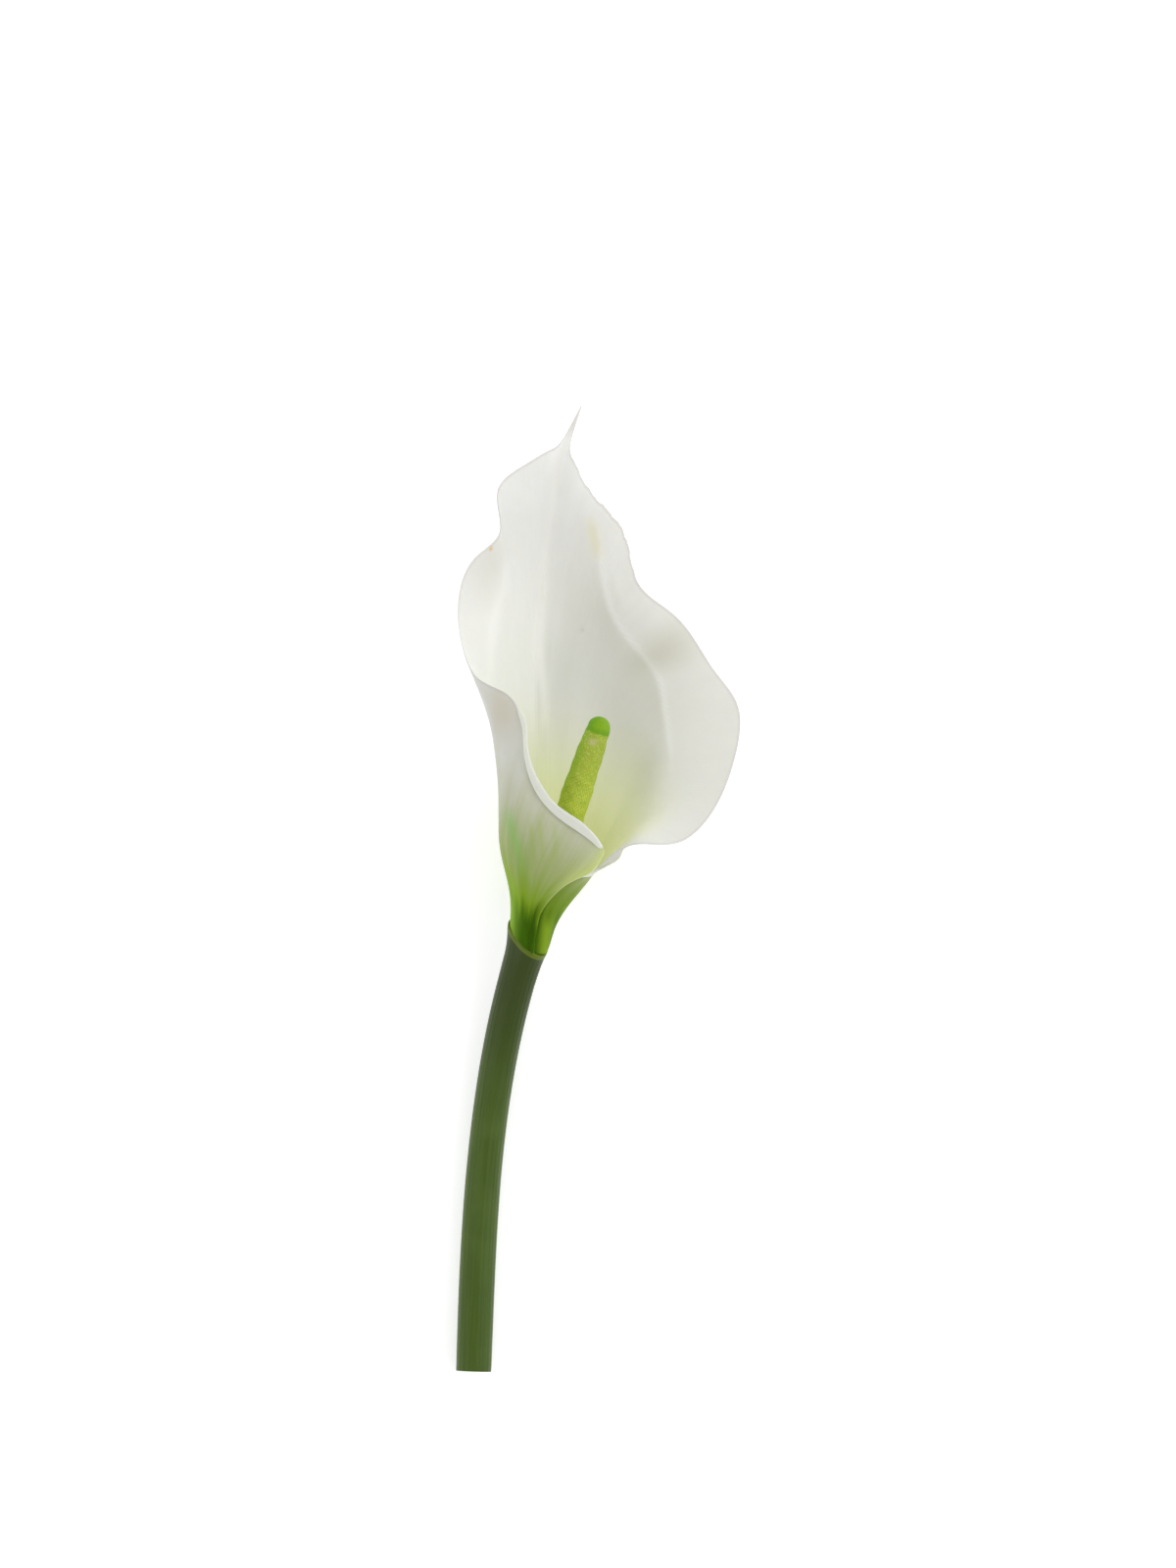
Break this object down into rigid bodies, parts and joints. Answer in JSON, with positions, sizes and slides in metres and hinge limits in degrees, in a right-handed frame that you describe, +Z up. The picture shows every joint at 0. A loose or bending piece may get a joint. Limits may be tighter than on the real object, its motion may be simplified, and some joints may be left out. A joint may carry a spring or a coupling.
{
  "type": "calla lily flower",
  "caption": "Cut calla lily lying down: a white funnel-shaped spathe with a pointed tip and a rolled lip, wrapped round a green finger-like spadix, on a smooth green stem.",
  "frame": {"origin": "under the middle of the lying flower's bounding box, on the surface that it lies on", "axes": "+Y from the cut end of the stem to the tip of the spathe, +Z up, out of the flower's mouth, +X to the right when looking down with the tip at the top"},
  "size_m": [0.0872, 0.294, 0.0403],
  "materials": {
    "stem": "satin",
    "spathe": "satin",
    "spadix": "matte"
  },
  "bodies": {
    "root": {"stem": "stem", "spathe": "spathe", "spadix": "spadix"}
  },
  "joints": []
}
